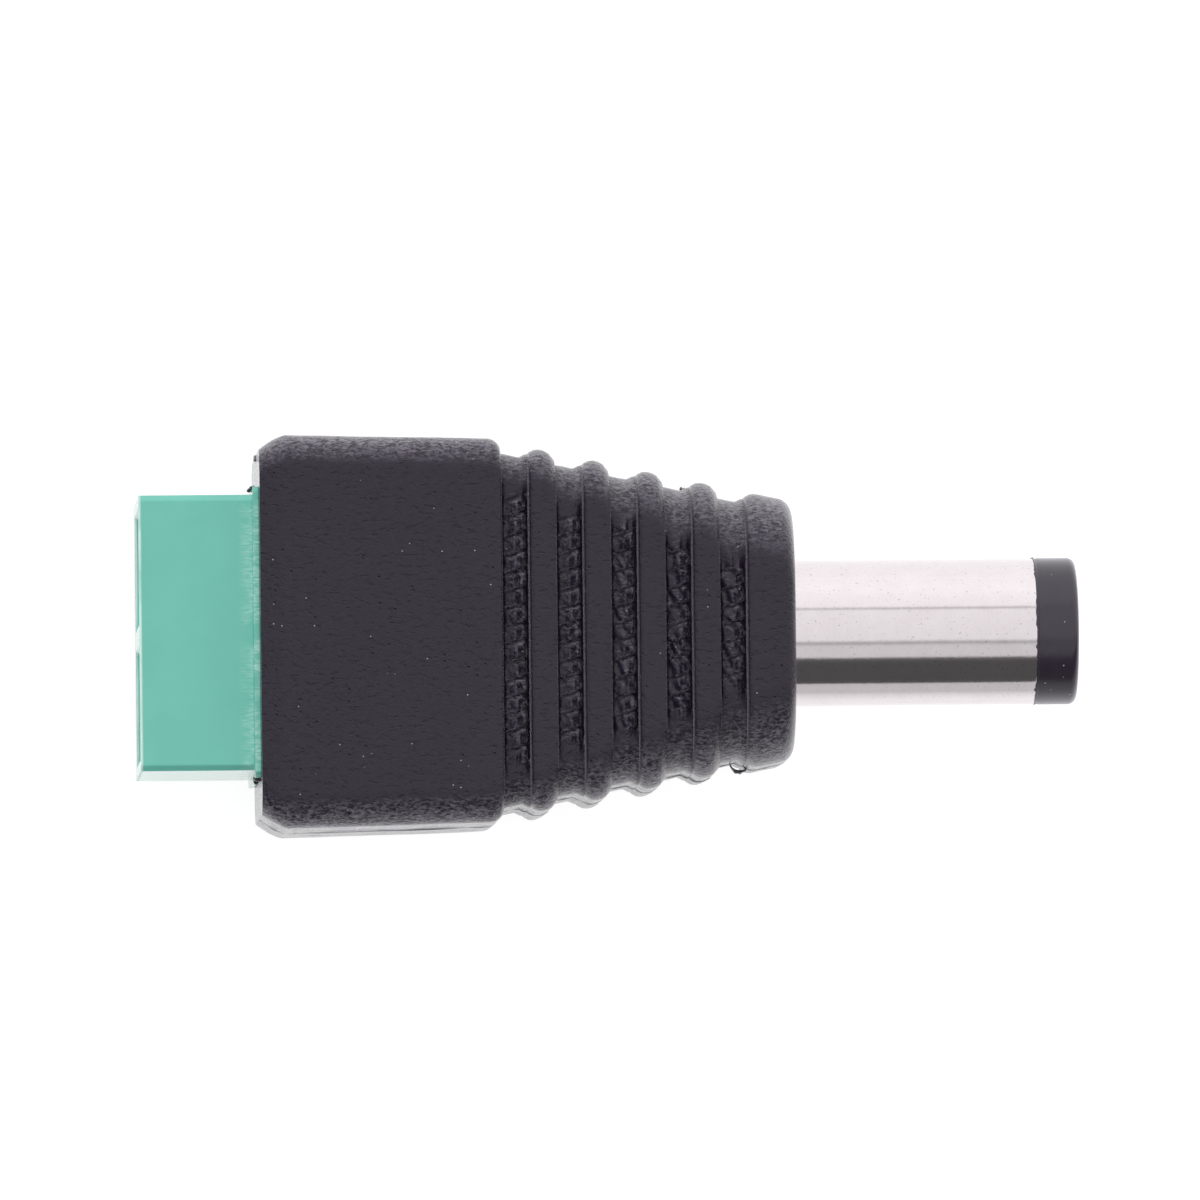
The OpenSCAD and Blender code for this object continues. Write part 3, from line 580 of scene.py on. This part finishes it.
def buildHousing():
    # stations along X are closer where the skin turns, and doubled at the grooves' sharp edges
    s, b = shell, barrel
    relief = dict(sink=0.012, sinkSize=2.3, crease=0.01, creaseSize=0.24,
                  lines=((0.09, 0.04), (-0.13, 0.025)), lineWide=0.05, lineWander=0.03)
    mouthEnd, edgeRun, twin = s["mouthLength"] - s["length"], 0.7, 0.001
    quarter = lambda start, count: steps(start, np.pi / 2, count)
    stations = [steps(-s["length"], mouthEnd, 9), steps(mouthEnd, s["boxX"] - edgeRun, 12),
                s["boxX"] - edgeRun * (1 - np.sin(quarter(0, 9))),
                [s["boxX"] - 0.02, s["boxX"] - twin]]
    for g in range(s["grooves"]):
        start = s["boxX"] + g * s["pitch"]
        end = start + s["grooveWidth"]
        ribEnd = end + s["ribWidth"]
        stations += [[start + twin], steps(start + 0.02, end - 0.01, 18), [end - twin]]
        if g < s["grooves"] - 1:
            rise = s["ribEdgeIn"] * (1 - np.cos(quarter(0.2, 4)))
            fall = s["ribEdgeOut"] * (1 - np.cos(quarter(0.2, 3)))
            stations += [end + rise, steps(end + s["ribEdgeIn"], ribEnd - s["ribEdgeOut"], 5),
                         (ribEnd - fall)[::-1], [ribEnd - twin]]
    rise = s["ribEdgeIn"] * (1 - np.cos(quarter(0.2, 5)))
    stations += [-s["collarLength"] + rise,
                 steps(-s["collarLength"] + s["ribEdgeIn"], -s["shoulderRound"], 8),
                 -s["shoulderRound"] * (1 - np.sin(quarter(0, 9))), [0.0]]
    x = np.unique(np.round(np.concatenate([np.atleast_1d(v) for v in stations]), 5))
    ring = roundedRing(wide=196, lower=110, narrow=14, corner=11)
    halfW, halfT, radius = housingSection(x)
    skin = ringSurface(x, halfW, halfT, radius, ring)
    faceY, faceZ = ring[2][None, :], ring[3][None, :]
    X, Y, Z = skin[..., 0], skin[..., 1], skin[..., 2]
    # groove relief on the wide faces, then the moulding's soft sinks, and on the narrow sides a
    # creased skin and the mould's two witness lines
    rowY = np.where(faceZ < 0, Y + scales["underShift"], Y)
    push = grooveScales(X, rowY) * (np.abs(faceZ) > 0.99)
    push = push + relief["sink"] * uneven(X, Y + 2.1 * Z, relief["sinkSize"], 3)
    onSide = smoothStep(np.abs(faceY), 0.6, 1.0)
    creases = uneven(X * 0.7, Z + 0.4 * Y, relief["creaseSize"], 8)
    push = push + relief["crease"] * onSide * creases
    for line, height in relief["lines"]:
        off = Z - line - relief["lineWander"] * uneven(X, 0 * Z, 0.7, 21)
        ridge = np.exp(-(off / relief["lineWide"]) ** 2)
        push = push + height * onSide * ridge * (0.75 + 0.5 * uneven(X, 0 * Z, 0.33, 22))
    skin[..., 1] += push * faceY
    skin[..., 2] += push * faceZ
    skin[..., 1] = np.clip(skin[..., 1], housingBox[0][1], housingBox[1][1])
    skin[..., 2] = np.clip(skin[..., 2], housingBox[0][2], housingBox[1][2])
    # the cavity: round over the barrel's neck and flange, then rectangular over the first-shot
    # block and the terminal's seat, as (x, half width, half thickness, corner radius)
    seatX, mould = nodeBox("barrel_sleeve")[0][0], nodeBox("inner_mould")
    mouldBack, mouldY, mouldZ = mould[0][0], mould[1][1], mould[1][2]
    neck, seatT, blockCorner, seatCorner = b["r"] - b["undercut"], 4.8, 0.05, 0.2
    bored = [(0.0, b["r"]), (b["undercutX"], b["r"]), (b["undercutX"], neck), (b["flangeX"], neck),
             (b["flangeX"], b["flangeR"]), (seatX, b["flangeR"])]
    inner = [(place, r, r, r) for place, r in bored]
    inner += [(seatX, mouldZ, mouldZ, blockCorner), (s["boxX"], mouldY, mouldZ, blockCorner),
              (mouldBack, mouldY, mouldZ, blockCorner),
              (mouldBack - 0.02, mouldY, seatT, seatCorner),
              (-s["length"], mouldY, seatT, seatCorner)]
    innerX, innerW, innerT, innerR = (np.array(v, float) for v in zip(*inner))
    cavity = ringSurface(innerX, innerW, innerT, innerR, ring)
    points = np.concatenate([skin, cavity])
    piece = addPiece("mouldedHousing", points, gridFaces(len(points), points.shape[1]), "plug",
                     pvc, sharpAngle=50)
    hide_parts("housing")
    print("housing:", len(x), "stations,", len(piece.data.polygons), "faces")


buildHousing()


def buildBarrel():
    b = barrel
    sleeve, ring = nodeBox("barrel_sleeve"), nodeBox("barrel_insulator")
    centre = nodeBox("centre_contact")
    endX, bore, neck = sleeve[1][0], b["r"] - b["wall"], b["r"] - b["undercut"]
    profile = np.concatenate([
        [[sleeve[0][0], bore], [sleeve[0][0], b["flangeR"]], [b["flangeX"], b["flangeR"]],
         [b["flangeX"], neck], [b["undercutX"], neck], [b["undercutX"], b["r"]]],
        straight(0.05, endX - b["endRound"], b["r"], 40),
        arc(endX - b["endRound"], b["r"] - b["endRound"], b["endRound"], 90, 0, 5),
        [[endX, bore]]])
    points = turned(profile, b["segments"])
    a = np.arctan2(points[..., 2], points[..., 1])
    wave = b["wave"] * uneven(points[..., 0], a * b["r"], b["waveSize"], 31)
    wave = wave * smoothStep(points[..., 0], 0, 1)
    points[..., 1] += wave * np.cos(a)
    points[..., 2] += wave * np.sin(a)
    piece = addPiece("barrelSleeve", points, gridFaces(*points.shape[:2]), "plug", nickel)
    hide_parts("barrel_sleeve")

    # the tip ring: a thin lip over the sleeve's end, a shallow groove beside it, then the head
    tipX, contactR = ring[1][0], centre[1][1]
    lipX, lipR = endX - b["lipBack"], b["r"] + b["lipThick"]
    inset = tipX - centre[1][0]
    profile = np.concatenate([
        [[ring[0][0], contactR], [ring[0][0], bore], [endX, bore],
         [endX, b["r"] - 0.03], [lipX, b["r"] + 0.002], [lipX, lipR],
         [endX + 0.03, lipR], [endX + 0.05, b["r"] - 0.02], [endX + 0.1, b["r"] - 0.015],
         [endX + 0.15, b["r"]]],
        straight(endX + 0.3, tipX - b["tipRound"] - 0.05, b["r"], 8),
        arc(tipX - b["tipRound"], b["r"] - b["tipRound"], b["tipRound"], 90, 0, 10),
        [[tipX, contactR + inset * 0.75], [tipX - 0.06, contactR + inset / 2],
         [centre[1][0], contactR]]])
    points = turned(profile, b["segments"])
    a = np.arctan2(points[..., 2], points[..., 1])
    ragged = b["lip"] * (0.2 + 0.5 * uneven(a * b["r"], 0 * a, 0.5, 41)
                         + 0.45 * uneven(a * b["r"], 0 * a, 0.14, 42))
    lip = np.isclose(profile[:, 0], lipX)  # its edge is the ragged film that crept over the metal
    points[lip, :, 0] = endX - np.clip(ragged[lip], 0.0, b["filmMost"]) - b["filmLeast"]
    piece = addPiece("tipRing", points, gridFaces(*points.shape[:2]), "plug", blackPbt)
    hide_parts("barrel_insulator")
    print("barrel:", len(piece.data.polygons), "faces on the tip ring")


buildBarrel()


bevelledCopy("terminal_block", "terminalBlock", 0.04, nylon)
bevelledCopy("centre_contact", "centreContact", 0.03, nickel)
for pole in ("pos", "neg"):
    # a fine break, so that the one round the thread stays clear of the bridge's own edges
    bevelledCopy("cage_" + pole, "clampCage_" + pole, 0.03, zincSteel)
    bevelledCopy("contact_strip_" + pole, "contactStrip_" + pole, 0.04, tinned)


def buildScrew(pole):
    # a clamp screw about its own axis: rings of (radius, z), with a thread whose radius follows a
    # triangle wave of z/pitch - angle/turn, and the head's face, sunk by the depth of its recess
    lo, hi = nodeBox("screw_" + pole)
    part = dict(head=1.3, headRound=0.18, core=1.02, crest=1.24, pitch=0.45, slotWide=0.6,
                slotDeep=0.8, crossLong=2.0, wall=0.03, tipFree=0.15, seatFree=0.2, fadeEnd=0.5,
                segments=96)
    axisX, axisY, headR = (lo[0] + hi[0]) / 2, (lo[1] + hi[1]) / 2, (hi[0] - lo[0]) / 2
    faceZ, seatZ, tipZ = lo[2], lo[2] + part["head"], hi[2]
    a = steps(0, 2 * np.pi, part["segments"])[None, :]
    z = np.linspace(tipZ - part["tipFree"], seatZ + part["seatFree"], 62)[:, None]
    wave = np.abs(2 * np.mod(z / part["pitch"] - a / (2 * np.pi), 1) - 1)
    fade = smoothStep(z, seatZ + part["seatFree"], seatZ + part["fadeEnd"]) \
        * smoothStep(-z, part["tipFree"] - tipZ, part["fadeEnd"] - tipZ)
    thread = part["core"] + (part["crest"] - part["core"]) * (1 - fade * (1 - wave))
    rings = [(0.0, tipZ), (0.7, tipZ), (part["core"] - 0.06, tipZ - 0.08)]
    under = [(part["crest"], seatZ), (headR - 0.05, seatZ), (headR, seatZ - 0.06)]
    e = np.linspace(0, np.pi / 2, 6)
    edge = np.stack([headR - part["headRound"] * (1 - np.cos(e)),
                     faceZ + part["headRound"] * (1 - np.sin(e))], -1)
    ring = lambda r, height: np.stack([axisX + r * np.cos(a), axisY + r * np.sin(a),
                                       height + 0 * a], -1)
    rows = [ring(r, h) for r, h in rings]
    rows += list(ring(thread, z)[:, None])
    rows += [ring(r, h) for r, h in under] + [ring(r, h) for r, h in edge]
    r = np.concatenate([np.linspace(headR - part["headRound"] - 0.03, 0.06, 44), [0.0]])[:, None]
    u, v = r * np.cos(a), r * np.sin(a)
    within = lambda off, wide: 1 - smoothStep(np.abs(off), wide / 2 - part["wall"],
                                              wide / 2 + part["wall"])
    cross = within(u, part["slotWide"]) * within(v, part["crossLong"])
    sunk = faceZ + part["slotDeep"] * np.maximum(within(v, part["slotWide"]), cross)
    rows += list(np.stack([axisX + u, axisY + v, sunk], -1)[:, None])
    points = np.concatenate(rows)
    faces = gridFaces(len(points), part["segments"], closeRows=False)
    piece = addPiece("clampScrew_" + pole, points, faces, "screw_" + pole, zincSteel)
    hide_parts("screw_" + pole)


for pole in ("pos", "neg"):
    buildScrew(pole)
print("clamps: bevelled")


for node, material in (("inner_mould", naturalPe), ("insulating_washer", fibre),
                       ("sleeve_lug", brass), ("centre_lug", brass), ("solder_pos", solderMetal),
                       ("solder_neg", solderMetal)):
    data = frame["nodes"][node].data
    data.materials.clear()
    data.materials.append(material)


def addFlash():
    # crumbs and torn films left where the moulds met: each is a ball of unit directions scaled to
    # its size, with an uneven radius, set at its place on the skin
    crumbs = (((-3.95, 5.33, 0.1), (0.11, 0.26, 0.12)), ((-20.2, 5.42, 3.9), (0.12, 0.08, 0.12)),
              ((-20.3, 5.42, 2.4), (0.09, 0.07, 0.1)), ((-20.15, -5.45, 4.1), (0.14, 0.09, 0.12)),
              ((-20.2, -5.48, 3.2), (0.1, 0.14, 0.1)), ((-20.0, 6.75, 0.2), (0.08, 0.16, 0.4)),
              ((-0.42, -4.72, 0.0), (0.16, 0.1, 0.08)), ((9.17, 2.72, 0.15), (0.04, 0.06, 0.1)))
    rows, cols = 9, 16
    t = np.linspace(0, np.pi, rows)[:, None]
    a = steps(0, 2 * np.pi, cols)[None, :]
    ball = np.stack([np.sin(t) * np.cos(a), np.sin(t) * np.sin(a), np.cos(t) + 0 * a], -1)
    points, faces = [], []
    for n, (place, size) in enumerate(crumbs):
        lumpy = 1 + 0.45 * uneven(ball[..., 0] + 3 * n, ball[..., 1] + ball[..., 2], 0.6, 60 + n)
        points.append((np.array(place) + ball * lumpy[..., None] * np.array(size)).reshape(-1, 3))
        faces.append(gridFaces(rows, cols, closeRows=False) + n * rows * cols)
    addPiece("mouldCrumbs", np.concatenate(points), np.concatenate(faces), "plug", pvc)

    # a curled film of skin standing off the last groove: an arch along X, thin in its normal
    film = dict(fromX=-2.3, toX=-1.55, y=-4.93, out=0.3, z=0.0, high=0.5, thick=0.03, bow=0.1)
    rows, cols = 21, 9
    loop = 2 * cols
    u, v = np.linspace(0, 1, rows)[:, None], np.linspace(-1, 1, cols)[None, :]
    ragged = 1 + 0.2 * uneven(u * 3, v, 0.4, 71)
    sheets = []
    for side in (0, 1):
        x = film["fromX"] + (film["toX"] - film["fromX"]) * u + 0 * v
        y = (film["y"] - film["out"] * np.sin(np.pi * u) ** 0.7 * ragged - side * film["thick"]
             + film["bow"] * v ** 2)
        z = film["z"] + film["high"] / 2 * v * (0.5 + 0.5 * np.sin(np.pi * u)) * ragged
        sheets.append(np.stack([x, y, z], -1))
    sheets[1] = sheets[1][:, ::-1]
    points = np.concatenate(sheets, 1)
    ends = np.array([[start + c, start + c + 1, start + loop - 2 - c, start + loop - 1 - c]
                     for start in (0, (rows - 1) * loop) for c in range(cols - 1)])
    faces = np.concatenate([gridFaces(rows, loop, closeRows=False), ends])
    addPiece("curledFilm", points, faces, "plug", filmPvc)
    print("flash:", len(crumbs), "crumbs and a curled film")


addFlash()


def placeCamera():
    # a long lens looking almost straight down, a little from the mouth's end and the negative side
    view = dict(distance=700.0, lens=559.0, sensor=36.0, yaw=2.55, pitch=2.86, roll=-0.63,
                target=(-7.098, 1.325, 0.0))
    yaw, pitch, roll = (math.radians(view[k]) for k in ("yaw", "pitch", "roll"))
    back = np.array([-math.sin(yaw) * math.cos(pitch), -math.sin(pitch),
                     math.cos(yaw) * math.cos(pitch)])
    right = np.array([math.cos(yaw), 0, math.sin(yaw)])
    up = np.cross(back, right)
    right, up = (math.cos(roll) * right + math.sin(roll) * up,
                 math.cos(roll) * up - math.sin(roll) * right)
    data = bpy.data.cameras.new("camera")
    data.sensor_width, data.lens = view["sensor"], view["lens"]
    data.clip_start, data.clip_end = 0.01, 10
    camera = bpy.data.objects.new("camera", data)
    bpy.context.scene.collection.objects.link(camera)
    turn = np.eye(4)
    turn[:3, 0], turn[:3, 1], turn[:3, 2] = right, up, back
    turn[:3, 3] = (np.array(view["target"]) + back * view["distance"]) * mm
    camera.matrix_world = Matrix(turn.tolist())
    bpy.context.scene.camera = camera


def makeFloor():
    # white lacquered board: shown white with the object's soft shadow, and pale in its reflections,
    # of that the part from 9 to 22 mm towards the negative side grows darker
    tone = dict(shadow=0.25, light=0.8, shown=0.9, mirrored=0.95, fallFrom=-9, fallTo=-22, fall=0.5)
    gap, reach = 0.02 * mm, 3.0
    floorZ = cadBox[0][2] - gap
    mesh = bpy.data.meshes.new("floor")
    mesh.from_pydata([(-reach, -reach, floorZ), (reach, -reach, floorZ), (reach, reach, floorZ),
                      (-reach, reach, floorZ)], [], [(0, 1, 2, 3)])
    floor = bpy.data.objects.new("floor", mesh)
    bpy.context.scene.collection.objects.link(floor)
    m = startMaterial("whiteBoard")
    at = addNode(m, "ShaderNodeTexCoord").outputs["Object"]
    apart = addNode(m, "ShaderNodeSeparateXYZ", None, {0: at})
    path = addNode(m, "ShaderNodeLightPath")
    mirrored = addNode(m, "ShaderNodeMath", {"operation": "MAXIMUM"},
                       {0: path.outputs["Is Glossy Ray"], 1: path.outputs["Is Transmission Ray"]})
    seen = addNode(m, "ShaderNodeMath", {"operation": "MAXIMUM"},
                   {0: path.outputs["Is Camera Ray"], 1: mirrored.outputs[0]})
    falling = addNode(m, "ShaderNodeMapRange",
                      {"From Min": tone["fallFrom"] * mm, "From Max": tone["fallTo"] * mm,
                       "To Min": 0.0, "To Max": tone["fall"]},
                      {"Value": apart.outputs[1]})
    darker = addNode(m, "ShaderNodeMath", {"operation": "MULTIPLY"},
                     {0: falling.outputs[0], 1: mirrored.outputs[0]})
    white = addNode(m, "ShaderNodeMapRange", {"To Min": tone["shown"], "To Max": tone["mirrored"]},
                    {"Value": mirrored.outputs[0]})
    level = addNode(m, "ShaderNodeMath", {"operation": "SUBTRACT"},
                    {0: white.outputs[0], 1: darker.outputs[0]})
    shadowed = addNode(m, "ShaderNodeBsdfDiffuse", {"Color": (*[tone["shadow"]] * 3, 1)})
    glow = addNode(m, "ShaderNodeEmission", None, {"Strength": level.outputs[0]})
    shown = addNode(m, "ShaderNodeAddShader", None, {0: shadowed.outputs[0], 1: glow.outputs[0]})
    lighting = addNode(m, "ShaderNodeBsdfDiffuse", {"Color": (*[tone["light"]] * 3, 1)})
    board = addNode(m, "ShaderNodeMixShader", None,
                    {0: seen.outputs[0], 1: lighting.outputs[0], 2: shown.outputs[0]})
    addNode(m, "ShaderNodeOutputMaterial", None, {"Surface": board.outputs[0]})
    mesh.materials.append(m)


def lightStudio():
    # white room: plain white to the camera, an even light on the object, and for its reflections
    # the panels round the table by their angle from overhead, in degrees towards +Y, with the
    # dark end of the room beyond the mouth
    room = dict(darkFrom=-0.85, darkTo=-0.5, dark=0.15, even=0.6)
    scene = bpy.context.scene
    world = bpy.data.worlds.new("studio")
    scene.world = world
    world.use_nodes = True
    world.node_tree.nodes.clear()
    at = addNode(world, "ShaderNodeTexCoord").outputs["Generated"]
    part = addNode(world, "ShaderNodeSeparateXYZ", None, {0: at})
    angle = addNode(world, "ShaderNodeMath", {"operation": "ARCTAN2"},
                    {0: part.outputs[1], 1: part.outputs[2]})
    share = addNode(world, "ShaderNodeMapRange", {"From Min": -math.pi, "From Max": math.pi},
                    {"Value": angle.outputs[0]})
    panels = addNode(world, "ShaderNodeValToRGB", None, {0: share.outputs[0]})
    stops = [(-180, 1.15), (-94, 0.8), (-89, 0.1), (-84, 0.09), (-50, 0.09), (-44, 0.14),
             (-41, 0.77), (-23, 0.77), (-20, 0.5), (-17.5, 0.5), (-14.5, 0.98), (33.5, 1.06),
             (36, 0.45), (38.5, 1.14), (70, 1.25), (100, 1.2), (180, 1.15)]
    ramp = panels.color_ramp
    for n, (degrees, level) in enumerate(stops):
        place = (degrees + 180) / 360
        stop = ramp.elements[n] if n < 2 else ramp.elements.new(place)
        stop.position = place
        stop.color = (level, level, level, 1)
    darkEnd = addNode(world, "ShaderNodeMapRange", {"From Min": room["darkFrom"],
                                                   "From Max": room["darkTo"],
                                                   "To Min": room["dark"], "To Max": 1.0},
                      {"Value": part.outputs[0]})
    walls = addNode(world, "ShaderNodeMath", {"operation": "MULTIPLY"},
                    {0: panels.outputs[0], 1: darkEnd.outputs[0]})
    path = addNode(world, "ShaderNodeLightPath")
    mirrored = addNode(world, "ShaderNodeMath", {"operation": "MAXIMUM"},
                       {0: path.outputs["Is Glossy Ray"], 1: path.outputs["Is Transmission Ray"]})
    lit = addNode(world, "ShaderNodeMix", {"data_type": "RGBA", 6: (*[room["even"]] * 3, 1)},
                  {0: mirrored.outputs[0], 7: walls.outputs[0]})
    shown = addNode(world, "ShaderNodeMix", {"data_type": "RGBA", 7: (1, 1, 1, 1)},
                    {0: path.outputs["Is Camera Ray"], 6: lit.outputs[2]})
    sky = addNode(world, "ShaderNodeBackground", None, {"Color": shown.outputs[2]})
    addNode(world, "ShaderNodeOutputWorld", None, {"Surface": sky.outputs[0]})
    for name, place, size, power in (("keyPanel", (-0.12, 0.5, 0.42), 0.4, 2.4),
                                     ("fillPanel", (-0.1, -0.15, 0.6), 0.4, 0.35)):
        data = bpy.data.lights.new(name, "AREA")
        data.size, data.energy = size, power
        lamp = bpy.data.objects.new(name, data)
        scene.collection.objects.link(lamp)
        lamp.location = place
        lamp.rotation_mode = "QUATERNION"
        lamp.rotation_quaternion = lamp.location.to_track_quat("Z", "Y")
        lamp.visible_glossy = False
    scene.view_settings.view_transform = "Standard"


placeCamera()
makeFloor()
lightStudio()
print("camera, floor and light are set")
